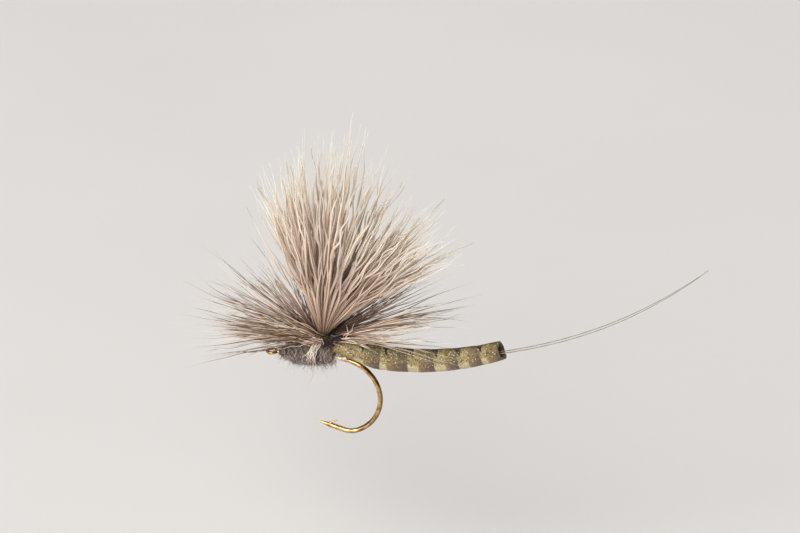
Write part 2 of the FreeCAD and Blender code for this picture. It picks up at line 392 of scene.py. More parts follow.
def shank_glue_and_highlight(m):
    """1 where the shank is painted pale, with ragged ends: partly a smear of glue, partly a painted
    highlight.
    """
    x = m.math("ADD", m.along("X"), m.times(m.noise(5.0, 3.0), 0.5))
    smear = m.times(m.spread(x, *SHANK_PALE_FROM), m.spread(x, *SHANK_PALE_TO, 1.0, 0.0))
    return m.times(smear, m.spread(m.along("Z"), *SHANK_UNDERSIDE))


def metal_material():
    """Bronze-lacquered wire, with painted shade along the outside of the bend, and a pale patch
    where the abdomen is tied on: partly a smear of glue, partly a painted highlight.
    """
    m = Nodes("bronze_lacquer", metallic=1.0, coat_weight=0.25, coat_roughness=0.05)
    gold = ((0.34, (122, 84, 46)), (0.5, (196, 154, 98)), (0.68, (240, 212, 162)))
    wear_and_shade = m.colours(m.noise(1.8, 5.0, 0.72), gold)
    wear_and_shade = m.mix(wear_and_shade, (84, 54, 32), m.spread(m.noise(7.0, 5.0, 0.75), 0.62, 0.8, 0.0, 0.45))
    # Painted shade: the outside of the bend is darkened towards brown.
    wear_and_shade = m.mix(wear_and_shade, (98, 64, 30), outer_bend_shade(m))
    # The pale patch on the shank: partly glue, partly a painted highlight of the lit wire.
    glue = shank_glue_and_highlight(m)
    m.base(m.mix(wear_and_shade, (232, 205, 190), glue))
    m.metallic(m.spread(glue, 0.0, 1.0, 1.0, 0.0))
    m.rough(m.math("ADD", m.vary(4.0, 0.10, 0.20, 4.0), m.times(glue, 0.25)))
    m.bump(m.noise(9.0, 5.0, 0.7), 0.25, 0.008)
    return m.material


def thread_material(name, dark, pale, roughness, coat):
    """Fine waxed thread: lengthwise fibres, darker between them, under some varnish."""
    m = Nodes(name, coat_weight=coat, coat_roughness=0.08)
    fibres = m.colours(m.noise(9.0, 4.0), ((0.3, dark), (0.75, pale)))
    m.base(m.mix(m.tint(), fibres, 0.7))
    m.rough(m.vary(12.0, roughness - 0.1, roughness + 0.15))
    m.bump(m.noise((40.0, 18.0, 18.0), 3.0), 0.6, 0.01)
    return m.material


def varnish_material(name, low, high, coat):
    """Set varnish over dark fibres: glossy, with swirls and pits."""
    m = Nodes(name, coat_weight=coat, coat_roughness=0.05, specular_ior_level=0.6)
    m.base(m.colours(m.noise(6.0, 5.0, 0.7), ((0.35, low), (0.8, high))))
    m.rough(m.vary(9.0, 0.12, 0.3))
    m.bump(m.noise(7.0, 3.0), 0.5, 0.03)
    return m.material


def fur_material():
    m = Nodes("dubbed_fur", sheen_weight=0.35, sheen_roughness=0.4)
    m.base(m.scaled(m.tint(), m.vary(4.0, 0.8, 1.2, 4.0)))
    m.rough(m.vary(16.0, 0.6, 0.85))
    m.bump(m.noise(30.0, 2.0), 0.5, 0.01)
    return m.material


def film_material():
    """Printed film over foam: ink mottle, fine dark and pale specks, and metal flakes painted pale
    as glints.
    """
    m = Nodes("printed_film", coat_weight=0.12, coat_roughness=0.35, specular_ior_level=0.3)
    mottle = m.vary(3.6, 0.66, 1.24, 6.0, 0.8)
    ribs = m.spread(m.noise((13.0, 2.5, 2.5), 3.0, 0.7), 0.35, 0.65, 0.80, 1.16)
    ink = m.scaled(m.tint(), m.times(mottle, ribs))
    printed = m.attribute("flakes", "Fac")
    grain = m.spread(m.noise(6.0, 3.0, 0.75), 0.51, 0.59, 0.0, 0.95)
    grain = m.times(grain, m.spread(printed, 0.2, 1.0, 0.40, 1.0))
    ink = m.mix(ink, (58, 51, 36), grain)
    chalk = m.spread(m.noise(6.5, 4.0, 0.75), 0.60, 0.70, 0.0, 0.55)
    ink = m.mix(ink, (192, 182, 138), m.times(chalk, printed))
    # Real flakes, coloured pale gold to near white: painted glints.
    flake_glint = m.spread(m.cells(4.2), 0.10, 0.34, 1.0, 0.0)
    few = m.spread(m.noise(2.6, 2.0), 0.42, 0.52)
    flake_glint = m.times(m.times(flake_glint, few), printed)
    glint = m.colours(m.noise(8.0, 2.0), ((0.42, (214, 182, 104)), (0.56, (244, 238, 214))))
    m.base(m.mix(ink, glint, m.times(flake_glint, 0.9)))
    m.metallic(m.spread(flake_glint, 0.0, 1.0, 0.0, 0.3))
    m.rough(m.vary(5.0, 0.40, 0.62, 4.0))
    m.bump(m.noise((10.0, 4.5, 4.5), 6.0, 0.75), 0.7, 0.06)
    return m.material


def foam_material():
    m = Nodes("closed_cell_foam")
    cells = m.cells(9.0)
    # Darker in the middle of each cell, where the bump makes a pit: painted shade in the pits.
    m.base(m.colours(cells, ((0.1, (150, 146, 110)), (0.6, (186, 180, 140)))))
    m.rough(m.vary(10.0, 0.7, 0.9))
    m.bump(cells, 0.6, 0.03)
    return m.material


def glue_material():
    """Set clear glue: tinted a little by what is under it, glassy, with a few bubbles."""
    m = Nodes(
        "set_clear_glue", transmission_weight=0.55, ior=1.47, coat_weight=1.0, coat_roughness=0.03
    )
    bubble = m.spread(m.cells(7.0), 0.05, 0.16, 1.0, 0.0)
    body = m.colours(m.noise(5.0, 3.0), ((0.3, (214, 206, 176)), (0.7, (240, 236, 222))))
    m.base(m.mix(body, (252, 252, 250), bubble))
    m.rough(m.vary(6.0, 0.05, 0.16))
    m.bump(m.noise(5.0, 3.0), 0.4, 0.03)
    return m.material


def floor_material():
    m = Nodes("pale_matt_board", specular_ior_level=0.2)
    m.base(m.colours(m.noise(0.012, 3.0), ((0.3, (229, 226, 223)), (0.7, (233, 230, 227)))))
    m.rough(m.vary(0.6, 0.75, 0.9))
    m.bump(m.noise(1.2, 4.0), 0.05, 0.05)
    return m.material


# Abdomen


# Where the printed blocks begin and end along X, and how soft those edges are
BLOCK_STARTS = (9.92, 12.29, 15.57, 18.33, 20.70, 22.60)
BLOCK_ENDS = (11.57, 14.46, 17.21, 19.65, 22.01, 25.0)
SOFT_START = 0.12
SOFT_END = 0.10
# The colours along a block, below and above, and how much of the upper one shows
BLOCK_BELOW = ((0.0, (156, 126, 84)), (0.35, (126, 102, 80)), (1.0, (94, 78, 73)))
BLOCK_ABOVE = ((0.0, (142, 118, 70)), (0.5, (116, 98, 64)), (1.0, (98, 83, 56)))
BLOCK_ABOVE_SHARE = 0.92
CREAM_BELOW = (200, 187, 146)
CREAM_ABOVE = (160, 140, 94)
FRONT_OLIVE = (140, 120, 78)
RIDGE_OLIVE = (78, 69, 40)
SEAM_BLACK = (32, 26, 18)
REAR_BROWN = (92, 74, 62)
KEEL_BROWN = (112, 98, 82)
CUT_EDGE = (116, 98, 72)
# The hollow's wall at its mouth, and the painted shade further inside it
HOLLOW_MOUTH = (128, 106, 80)
HOLLOW_SHADE = (84, 66, 50)
FOAM_TINT = (176, 170, 132)

# The notches of painted shade at the segment pinches along the top, along X, their half-width at
# the top, how many degrees they go down the side, and how far each degree moves them to the tail
NOTCHES = (9.44, 11.94, 14.65, 17.26, 19.62, 21.85)
NOTCH_WIDTH = 0.34
NOTCH_END = 60
NOTCH_SLANT = 0.006

# The pinched places along X, and how far the swell between them rises and repeats
SEGMENTS = (9.45, 12.0, 14.6, 17.2, 19.6, 21.8)
PINCH_DEPTH = 0.035
PINCH_REACH = 0.22
SWELL = 0.022
SWELL_LENGTH = 2.45
# The crease along the top, and how many degrees it and the pinched ridge beside it reach
CREASE_DEPTH = 0.035
CREASE_REACH = 5
RIDGE_REACH = 16
# How far the wire presses the underside in, along X
PRESSED = ((6.4, 7.0, 8.0, 9.0, 9.6, 10.3, 10.9), (0.40, 0.42, 0.43, 0.52, 0.34, 0.14, 0.0))
# How far the tied-down film stands up, along X
RAISED = ((6.4, 7.0, 8.0, 9.4, 10.8, 12.4), (0.05, 0.30, 0.40, 0.34, 0.16, 0.0))
# The groove over the wire, which gives it room when the abdomen bends down
GROOVE = 0.30

WALL = 0.17
HOLLOW = 1.25
NOSE_LENGTH = 0.42
FOAM_INSET = 0.08


def arc_height(x):
    return ARC_Z - np.sqrt(ARC_RADIUS**2 - (x - ARC_X) ** 2)


def arc_slope(x):
    return np.arcsin((x - ARC_X) / ARC_RADIUS)


def body_radius(x):
    front = np.clip((WIDEST_X - x) / (WIDEST_X - ABDOMEN_X[0]), 0, TAPER_REACH[0])
    rear = np.clip((x - WIDEST_X) / (ABDOMEN_X[1] - WIDEST_X), 0, TAPER_REACH[1])
    return WIDEST_RADIUS - FRONT_TAPER * front**2 - REAR_TAPER * rear**REAR_TAPER_POWER


def film_blocks(x):
    """How far each place is inside a printed block, and its share of the way along it."""
    block = np.zeros_like(x)
    share = np.zeros_like(x)
    for start, end in zip(BLOCK_STARTS, BLOCK_ENDS):
        begun = smooth(x, start - SOFT_START, start + SOFT_START)
        block = np.maximum(block, begun * fall(x, end - SOFT_END, end + SOFT_END))
        share = np.where((x > start) & (x < end), (x - start) / (end - start), share)
    return block, share


def crease_shade(x, side):
    """How dark the painted shade is along the top crease and in its notches at the segment pinches,
    at an angle from the top.
    """
    seam = fall(side, 5, 11) * (0.15 + 0.55 * np.sin(2.9 * x) ** 2)
    width = NOTCH_WIDTH * np.clip(1 - side / NOTCH_END, 0, 1)
    for place in NOTCHES:
        off = np.abs(x - place - NOTCH_SLANT * side)
        notch = fall(off, width - 0.03, width + 0.06)
        seam = np.maximum(seam, notch * fall(side, NOTCH_END - 14, NOTCH_END))
    return seam


def film_tint(x, turn):
    """The film's colour at a place along X and an angle from the top, in degrees: printed
    grey-olive above, brown and cream blocks below, and painted shade along the top crease and its
    notches."""
    side = np.abs(turn)
    block, share = film_blocks(x)
    cream = linear(CREAM_BELOW)
    lower = cream + (ramp(share, BLOCK_BELOW) - cream) * block[..., None]
    lower = towards(lower, FRONT_OLIVE, fall(x, 8.6, 9.2))
    cream = linear(CREAM_ABOVE)
    above = (ramp(share, BLOCK_ABOVE) - cream) * block[..., None]
    upper = cream + above * BLOCK_ABOVE_SHARE
    tint = upper + (lower - upper) * smooth(side, 80, 98)[..., None]
    tint = towards(tint, RIDGE_OLIVE, fall(side, 8, 44) * 0.22)
    # Painted shade along the top crease and in the notches at the segment pinches.
    tint = towards(tint, SEAM_BLACK, crease_shade(x, side))
    tint = towards(tint, REAR_BROWN, 0.7 * smooth(x, 23.2, 23.8) * smooth(side, 30, 60))
    return towards(tint, KEEL_BROWN, smooth(side, 163, 172) * 0.6)


def body_ring(x, radius, angle, back=0.0):
    """Points round the centre line. back moves each one towards the tail."""
    slope = arc_slope(x)
    height = radius * np.cos(angle)
    px = x - height * math.sin(slope) + back * math.cos(slope)
    pz = arc_height(x) + height * math.cos(slope) + back * math.sin(slope)
    return xyz(px, -radius * np.sin(angle), pz)


def outside(x, turn):
    """The film's radius round the body: pinched at its segments, creased along the top seam,
    raised at the front, and pressed in and grooved by the wire underneath."""
    angle = np.radians(turn)
    pinch = sum(math.exp(-(((x - place) / PINCH_REACH) ** 2)) for place in SEGMENTS)
    swell = 0.5 - 0.5 * math.cos(2 * math.pi * (x - SEGMENTS[0]) / SWELL_LENGTH)
    ridge = np.exp(-((turn / RIDGE_REACH) ** 2))
    radius = body_radius(x) * (1 - PINCH_DEPTH * pinch * (0.4 + ridge)) + SWELL * swell
    radius = radius - CREASE_DEPTH * np.exp(-((turn / CREASE_REACH) ** 2))
    radius = radius * (1 + 0.02 * (1 - np.exp(-(((np.abs(turn) - 90) / 60) ** 2))))
    groove = GROOVE * smooth(x, 6.6, 9.2) * fall(x, 10.6, 11.4) * smooth(np.abs(turn), 138, 158)
    radius = radius + np.interp(x, *RAISED) * np.maximum(np.cos(angle), 0)
    return radius - np.interp(x, *PRESSED) * np.maximum(-np.cos(angle), 0) - groove


def cut_lip(angle):
    """How far each place on the cut rear edge stands back or forward of a square cut."""
    up, down = np.maximum(np.cos(angle), 0), np.maximum(-np.cos(angle), 0)
    lip = 0.10 * up**2 + 0.20 * down**3 - 0.16 * np.sin(angle) ** 4
    return lip + 0.03 * np.sin(5 * angle + 0.6) + 0.02 * np.sin(11 * angle)


def abdomen_skin():
    """The film's outside, its cut rear edge and the wall of the hollow end, as one skin."""
    around, film_rings, nose_rings, hollow_rings = 72, 330, 10, 8
    turn = np.linspace(-180, 180, around, endpoint=False)
    angle = np.radians(turn)
    level = np.ones(around)
    start, end = ABDOMEN_X
    rings = []
    for step in range(nose_rings):
        share = (step + 0.35) / nose_rings
        x = start - NOSE_LENGTH * (1 - share)
        radius = outside(start, turn) * (0.35 + 0.65 * math.sin(share * math.pi / 2))
        rings.append((body_ring(x, radius, angle), film_tint(x * level, turn), 0.6 * level))
    side_flakes = 0.25 + 0.75 * fall(np.abs(turn), 84, 108)
    for x in np.linspace(start, end, film_rings):
        skin = body_ring(x, outside(x, turn), angle)
        rings.append((skin, film_tint(x * level, turn), side_flakes))
    lip = cut_lip(angle)
    # The print at the rim is darkened by a tenth: painted shade.
    shaded_print_edge = film_tint((end - 0.05) * level, turn) * 0.9
    cut_edge = np.tile(linear(CUT_EDGE), (around, 1))
    for share, inset, tint in (
        (0.5, 0.0, shaded_print_edge),
        (0.9, 0.01, shaded_print_edge),
        (1.0, WALL * 0.5, cut_edge),
        (0.9, WALL, cut_edge),
    ):
        radius = (body_radius(end) - inset) * level
        rings.append((body_ring(end, radius, angle, lip * share), tint, 0.2 * level))
    # Painted shade: the hollow's wall darkens from its mouth inwards.
    mouth, deep_shade = linear(HOLLOW_MOUTH), linear(HOLLOW_SHADE)
    for share in np.linspace(0.0, 1.0, hollow_rings):
        x = end - HOLLOW * share
        radius = (body_radius(x) - WALL - 0.015) * level
        tint = np.tile(mouth + (deep_shade - mouth) * min(1.0, share * 2.5), (around, 1))
        rings.append((body_ring(x, radius, angle, lip * 0.5 * (1 - share)), tint, 0 * level))
    rows, tints, flakes = (np.array(part) for part in zip(*rings))
    made = closed_form("abdomen_skin", rows, tints)
    print_flakes = made.data.attributes.new("flakes", "FLOAT", "POINT")
    print_flakes.data.foreach_set("value", flakes.astype(np.float32).ravel())
    return made


def abdomen_foam():
    """The foam that fills the film from its front to the hollow."""
    around, rings = 48, 90
    turn = np.linspace(-180, 180, around, endpoint=False)
    angle = np.radians(turn)
    stations = np.linspace(ABDOMEN_X[0] + 0.1, ABDOMEN_X[1] - HOLLOW - 0.15, rings)
    rows = np.array([body_ring(x, outside(x, turn) - FOAM_INSET, angle) for x in stations])
    return closed_form("abdomen_foam", rows, linear(FOAM_TINT))


# Wing


WING_HAIRS = 236
WING_ROOT_X = POST_X + 0.22
WING_ROOT_Z = 2.62
WING_ROOT_REACH = (0.50, 0.46)
# How far hairs lean to the tail in degrees, from the fan's front edge to its rear
FAN_LEAN = ((0.0, 0.07, 0.27, 0.55, 0.79, 1.0), (-28, -19, -7, 17, 39, 56))
# Hair length at each lean
FAN_LENGTH = (
    (-30, -22, -10, 0, 6, 12, 20, 30, 44, 58),
    (17.0, 18.4, 19.4, 21.4, 23.2, 21.6, 19.0, 17.2, 18.2, 18.4),
)
LENGTH_LIMITS = (10.5, 23.2)
# The lean away from the viewer's side, and how far hairs spread to each side of it, in degrees
FAR_LEAN = 5
FAR_SPREAD = 21
LEAN_SCATTER = 2.0
WAVE_LENGTHS = (4.2, 9.5)
WAVE_REACHES = (0.04, 0.26)
WING_GIRTHS = (0.080, 0.138)
WING_COLOURS = (
    (0.00, (82, 62, 48)),
    (0.06, (140, 112, 92)),
    (0.20, (186, 161, 141)),
    (0.50, (204, 182, 164)),
    (0.72, (221, 204, 187)),
    (0.88, (231, 220, 202)),
    (1.00, (242, 236, 222)),
)
TIP_BROWN = (150, 100, 70)


def wing_paths(s, share):
    """Crinkled hairs that fan out from the post: their paths, how far along its hair each
    point is, and the phase of each hair's wave."""
    count = len(share)
    v = rng.uniform(-1, 1, count) * np.sqrt(1 - (2 * share - 1) ** 2 * 0.75)
    lean = np.interp(share, *FAN_LEAN)
    lean_x = np.radians(lean + rng.normal(0, LEAN_SCATTER, count))
    lean_y = np.radians(FAR_LEAN + FAR_SPREAD * v + rng.normal(0, LEAN_SCATTER, count))
    length = np.interp(lean, *FAN_LENGTH) * (1 - 0.10 * np.abs(rng.normal(0, 1, count)))
    length = np.clip(length * (1 + 0.03 * v), *LENGTH_LIMITS)
    open_out = 0.66 + 0.34 * smooth(s, 0.0, 0.4)[None]
    bow = 1 + 0.15 * rng.normal(0, 1, (count, 1)) * s[None] ** 1.5
    tilt_x = np.tan(lean_x[:, None] * open_out * bow)
    tilt_y = np.tan(lean_y[:, None] * open_out)
    heading = unit(xyz(tilt_x, tilt_y, np.ones_like(tilt_x)))
    reach_x, reach_y = WING_ROOT_REACH
    root_x = WING_ROOT_X + reach_x * (2 * share - 1)
    root = xyz(root_x, reach_y * v, np.full(count, WING_ROOT_Z))
    paths = walk(heading, length) + root[:, None]
    aside = unit(np.cross(heading[:, -1], rng.normal(0, 1, (count, 3))))
    around = np.cross(heading[:, -1], aside)
    wave_length = column(*WAVE_LENGTHS, count)
    phase = column(0, 2 * math.pi, count)
    reach = column(*WAVE_REACHES, count) * smooth(s, 0.12, 0.75)[None]
    travel = s[None] * length[:, None]
    swing = 2 * math.pi * travel / wave_length + phase
    wave = reach * np.sin(swing + 1.8 * np.sin(travel / 2.7 + phase))
    wave_b = 0.5 * reach * np.sin(2 * math.pi * travel / (wave_length * 0.77) + 2.1 * phase)
    paths = paths + aside[:, None] * wave[..., None] + around[:, None] * wave_b[..., None]
    return paths + wander(count, len(s), 0.26), travel, phase


def wing_tints(s, share, travel, phase):
    """Colours along each hair, with a few darker, paler and warmer hairs and brown tips."""
    count = len(share)
    kind = rng.uniform(0, 1, count)
    kind = kind + 0.20 * (share < 0.22)
    bright = brightness(kind, (0.16, 0.84), (0.70, 0.85), (0.90, 1.10), (1.08, 1.20))
    tints = ramp(s, WING_COLOURS) * bright[:, None, None]
    warm = rng.normal(0, 0.02, count)[:, None]
    tints[..., 0] *= 1 + warm
    tints[..., 2] *= 1 - 1.4 * warm
    brown_tip = (column(0, 1, count) < 0.06) * smooth(s, 0.86, 0.97)[None]
    tints = towards(tints, TIP_BROWN, brown_tip)
    streak_share = rng.uniform(0, 1, (count, 1, 1))
    streak = 1 + 0.07 * np.sin(travel * 2.1 + 3 * phase)[..., None] * streak_share
    return np.clip(tints * streak, 0.004, 0.93)


def wing_pieces():
    material = hair_material("crinkled_wing_hair", 0.46, 0.10)
    steps = 40
    s = np.linspace(0, 1, steps)
    share = (np.arange(WING_HAIRS) + rng.uniform(0, 1, WING_HAIRS)) / WING_HAIRS
    paths, travel, phase = wing_paths(s, share)
    girth = column(*WING_GIRTHS, WING_HAIRS)
    shape = 0.45 + 0.55 * smooth(s, 0.0, 0.22)[None]
    radii = girth * (shape * (1 - smooth(s, 0.62, 1.0)[None] * 0.88))
    tints = wing_tints(s, share, travel, phase)
    for third, side in enumerate(("front", "middle", "rear")):
        chosen = (3 * share).astype(int) == third
        made = strands("wing_fan_" + side, [(paths[chosen], radii[chosen], tints[chosen], 6, None)])
        put(made, "wing", material, "wing_hair", "wing_hair_" + side)


# Hackle


# The abdomen's hinge, and the angles that the hairs have to leave room for
FLEX_PIVOT = (6.6, 0.7)
ABDOMEN_FLEX = (0.0, 8.0, -5.0)
# How much room hairs leave round the body, and how far past its ends
HAIR_GAP = 0.12
CLEAR_FRONT = 0.3
CLEAR_REAR = 0.6
ROOT_RADIUS = 0.70
# The lowest and highest root
HACKLE_ROOT_Z = (STEM_LOW[2] + 0.05, STEM_HIGH[2] + 0.12)
# How far a hair bends up or down and to a side, in degrees
HACKLE_BEND = 8.0
HACKLE_SWEEP = 9.0
FINE = (0.034, 0.058)
FULL = (0.045, 0.07)
FINE_NEAR = (0.036, 0.058)
# The azimuths of near hairs that cross in front of the stem
ACROSS = (-184, -160)
HACKLE_COLOURS = (
    (0.00, (22, 15, 11)),
    (0.07, (48, 35, 28)),
    (0.16, (112, 86, 70)),
    (0.34, (168, 140, 122)),
    (0.60, (202, 179, 162)),
    (0.80, (216, 198, 182)),
    (1.00, (238, 226, 210)),
)
PALE_COLOURS = (
    (0.00, (84, 62, 50)),
    (0.12, (166, 138, 118)),
    (0.40, (214, 190, 170)),
    (0.75, (232, 214, 198)),
    (1.00, (244, 234, 220)),
)
BAR_BROWN = (92, 66, 56)

# Bent strands, by where they start and end, their sag, number, girth and colour. These stray
# over the near side of the body, or curl darkly at the hackle's root, partly as dark roots and
# partly as painted shade
UPPER_CURLS = (
    ((6.9, -1.0, 2.75), (19.7, -1.62, 1.46), (0.0, -0.35, 0.70), 2, 0.026, (236, 220, 200)),
    ((6.9, -1.0, 2.75), (19.6, -1.60, 2.24), (0.0, -0.35, 0.60), 1, 0.026, (228, 210, 190)),
    ((6.9, -1.0, 2.75), (16.8, -1.60, 1.90), (0.0, -0.35, 0.60), 1, 0.026, (214, 196, 176)),
    # These two dark rows are partly dark hair roots and partly painted shade: dark strands put in
    # the shadow at the root.
    ((6.25, -1.06, 2.50), (6.75, -1.30, 1.95), (0.0, -0.1, 0.0), 20, 0.055, (44, 31, 24)),
    ((6.1, -1.02, 2.62), (8.3, -1.12, 3.02), (0.0, -0.1, 0.0), 22, 0.050, (44, 31, 24)),
)
# The tuft that hangs over the thorax, a stray pair behind the root, and hairs towards the eye
LOWER_CURLS = (
    ((4.6, -0.85, 1.8), (4.1, -1.2, -0.55), (0.1, -0.5, 0.3), 5, 0.046, (236, 220, 204)),
    ((5.1, -0.85, 1.8), (4.9, -1.2, -0.5), (-0.15, -0.5, 0.3), 6, 0.048, (236, 222, 208)),
    ((4.6, -1.15, 0.7), (3.9, -1.35, -3.2), (0.35, -0.1, 0.0), 1, 0.028, (206, 172, 140)),
    ((7.9, -1.20, 2.75), (8.6, -1.5, 4.4), (0.2, -0.2, 0.0), 2, 0.042, (222, 204, 186)),
    ((5.4, -0.9, 2.1), (-4.6, -1.3, 2.3), (0.0, -0.3, 0.1), 9, 0.050, (196, 168, 146)),
    ((5.2, -0.9, 1.9), (-0.8, -1.0, 1.6), (0.0, -0.25, 0.30), 8, 0.050, (176, 148, 126)),
    ((5.2, -0.9, 1.8), (0.6, -0.9, 0.9), (0.0, -0.3, 0.4), 3, 0.040, (222, 202, 184)),
)


def clear_of_abdomen(paths):
    """Whether each strand stays off the abdomen, at rest and at its limits."""
    clear = np.ones(len(paths), bool)
    for flex in ABDOMEN_FLEX:
        turn = math.radians(flex)
        off_x, off_z = paths[..., 0] - FLEX_PIVOT[0], paths[..., 2] - FLEX_PIVOT[1]
        px = FLEX_PIVOT[0] + off_x * math.cos(turn) + off_z * math.sin(turn)
        pz = FLEX_PIVOT[1] + off_z * math.cos(turn) - off_x * math.sin(turn)
        x = np.clip(px, ABDOMEN_X[0] - 0.5, ABDOMEN_X[1] + 0.5)
        above = pz - arc_height(x)
        off = np.hypot(paths[..., 1], above)
        raised = np.interp(x, *RAISED) * np.maximum(above / np.maximum(off, 0.1), 0)
        beside = (px > ABDOMEN_X[0] - CLEAR_FRONT) & (px < ABDOMEN_X[1] + CLEAR_REAR)
        clear &= ~((off < body_radius(x) + raised + HAIR_GAP) & beside).any(axis=1)
    return clear


def hackle_tints(s, count, colours):
    """Colours along each hair. The darker hairs are browner, and half of them have a bar."""
    kind = rng.uniform(0, 1, count)
    bright = brightness(kind, (0.30, 0.74), (0.26, 0.52), (0.72, 1.15), (1.2, 1.7))
    tints = ramp(s, colours) * bright[:, None, None]
    browner = (kind < 0.30)[:, None]
    tints[..., 1] *= 1 - 0.12 * browner
    tints[..., 2] *= 1 - 0.30 * browner
    bar_at = column(0.62, 0.92, count)
    bar_reach = column(0.05, 0.13, count)
    barred = column(0, 1, count) < 0.55
    bar = barred * fall(np.abs(s[None] - bar_at), bar_reach * 0.5, bar_reach)
    return np.clip(towards(tints, BAR_BROWN, bar * 0.85), 0.003, 0.9)


def hairs(count, low, high, rises, lengths, girths=FINE, colours=HACKLE_COLOURS, twists=(-25, 25)):
    """Random barred hairs that leave the stem between two azimuths, each from a root twisted
    round it by an angle and clear of the abdomen, as one strand group."""
    ranges = ((low, high), rises, lengths, girths, HACKLE_ROOT_Z, twists)
    azimuth, rise, length, girth, height, twist = (rng.uniform(*ends, count) for ends in ranges)
    steps = 24
    s = np.linspace(0, 1, steps)
    turn = np.radians(azimuth)
    bend = rng.normal(0, HACKLE_BEND, count)
    lift = np.radians(rise[:, None] + bend[:, None] * s[None])
    swept = np.radians(rng.normal(0, HACKLE_SWEEP, count))[:, None] * s[None]
    sweep = turn[:, None] + swept
    heading = xyz(np.cos(sweep) * np.cos(lift), np.sin(sweep) * np.cos(lift), np.sin(lift))
    root_turn = turn + np.radians(twist)
    root_x = POST_X + ROOT_RADIUS * np.cos(root_turn)
    root = xyz(root_x, ROOT_RADIUS * np.sin(root_turn), height)
    paths = walk(heading, length) + root[:, None] + wander(count, steps, 0.13)
    taper = (0.55 + 0.45 * smooth(s, 0.0, 0.15)) * (1 - 0.92 * smooth(s, 0.50, 1.0))
    radii = girth[:, None] * taper[None]
    tints = hackle_tints(s, count, colours)
    keep = clear_of_abdomen(paths)
    return paths[keep], radii[keep], tints[keep], 5, None


def curled(start, end, sag, count, girth, colour):
    """A few bent strands between two places, each with its own curl."""
    steps = 22
    s = np.linspace(0, 1, steps)[None, :, None]
    begin = np.asarray(start, float) + rng.normal(0, 0.16, (count, 1, 3))
    finish = np.asarray(end, float) + rng.normal(0, 0.24, (count, 1, 3))
    bow = np.asarray(sag, float) * rng.uniform(0.6, 1.3, (count, 1, 1))
    paths = begin + (finish - begin) * s + bow * np.sin(np.pi * s) + wander(count, steps, 0.07, 6)
    radii = girth * (1 - 0.75 * smooth(s[..., 0], 0.5, 1.0)) * np.ones((count, 1))
    tints = np.ones((count, steps, 1)) * linear(colour) * rng.uniform(0.75, 1.15, (count, 1, 1))
    return paths, radii, tints, 6, None


def hackle_sets():
    """The strand groups of each set, in the order that they are drawn."""
    return {
        "front": [
            hairs(88, 138, 216, (-4, 26), (9.0, 15.0)),
            hairs(26, 140, 205, (16, 40), (9.0, 14.5)),
            hairs(34, 140, 212, (-9, 30), (3.5, 7.5)),
            hairs(26, 160, 200, (-6, 8), (8.0, 13.0), FULL, PALE_COLOURS),
        ],
        "rear": [
            hairs(48, -18, 45, (-1, 15), (11.0, 16.5)),
            hairs(16, 28, 55, (12, 28), (9.0, 15.0)),
            hairs(24, -30, 45, (2, 15), (3.5, 8.0)),
            hairs(50, -8, 36, (-1, 13), (10.0, 16.5), FULL, PALE_COLOURS),
        ],
        "far": [
            hairs(96, 45, 138, (-3, 32), (9.5, 14.0)),
            hairs(46, 45, 138, (0, 36), (3.5, 7.5)),
        ],
        "near": [
            hairs(2, -168, -150, (-6, 0), (9.0, 12.0)),
            hairs(44, *ACROSS, (0, 30), (6.0, 13.0), (0.040, 0.064), PALE_COLOURS, (60, 130)),
            hairs(30, *ACROSS, (-3, 26), (4.0, 12.0), (0.034, 0.056), twists=(60, 130)),
            hairs(18, -14, -2, (6, 15), (5.0, 13.0), FINE_NEAR, PALE_COLOURS, (-80, -30)),
            *(curled(*row) for row in UPPER_CURLS),
            hairs(16, -146, -70, (-20, 24), (1.2, 2.4)),
            *(curled(*row) for row in LOWER_CURLS),
        ],
    }


def hackle_pieces():
    material = hair_material("barred_hackle_hair", 0.42, 0.14)
    for side, groups in hackle_sets().items():
        made = strands("hackle_fan_" + side, groups)
        put(made, "hook_body", material, "hackle_hair", "hackle_" + side)


# Thorax


# Where the fur begins and ends along X, and the height that its top is held under
FUR_X = (THORAX_LOW[0] - 0.45, THORAX_HIGH[0] + 0.1)
FUR_TOP = 1.55
THORAX_RADIUS = THORAX_HIGH[1]
THORAX_RISE = (THORAX_LOW[2] + THORAX_HIGH[2]) / 2
FELT_SHARE = 0.80
FELT_DARK = (62, 52, 48)
# Layers of fibres: how many, their lengths, their girths, and how far they stand off
FUR_LAYERS = (
    (2300, (0.7, 1.5), (0.016, 0.030), (0.05, 0.40)),
    (500, (1.1, 2.1), (0.010, 0.018), (0.30, 0.75)),
    (55, (1.3, 2.3), (0.008, 0.012), (0.50, 0.90)),
)
FUR_COLOURS = (
    (0.0, (58, 45, 38)),
    (0.30, (112, 94, 84)),
    (0.6, (152, 133, 121)),
    (0.85, (200, 182, 168)),
    (1.0, (232, 220, 208)),
)


def thorax_radius(x):
    """The spindle that the CAD gives the dubbing, about a line just above the shank."""
    low, high = THORAX_LOW[0], THORAX_HIGH[0]
    return np.interp(
        x,
        [low, low + 0.5, 2.9, 3.6, 4.6, 5.5, high],
        [0.50, 0.84, THORAX_RADIUS * 0.98, THORAX_RADIUS, THORAX_RADIUS * 0.96, 0.90, 0.70],
    )


def thorax_felt():
    """The dark felted core of the dubbing."""
    rows, around = 46, 40
    low, high = FUR_X
    x = np.linspace(low, high, rows)[:, None] * np.ones((1, around))
    angle = np.linspace(0, 2 * math.pi, around, endpoint=False)[None] * np.ones((rows, 1))
    lumps = 0.05 * np.sin(3 * angle + 2.2 * x) + 0.05 * np.sin(5 * angle - 3.7 * x)
    lumps = lumps + rng.normal(0, 0.02, (rows, around))
    ends = smooth(x, low - 0.2, low + 0.5) * fall(x, high - 0.25, high + 0.25)
    radius = (thorax_radius(x) * FELT_SHARE + lumps) * ends + 0.30 * (1 - ends)
    skin = xyz(x, radius * np.sin(angle), THORAX_RISE + radius * np.cos(angle))
    return closed_form("thorax_felt", skin, linear(FELT_DARK))


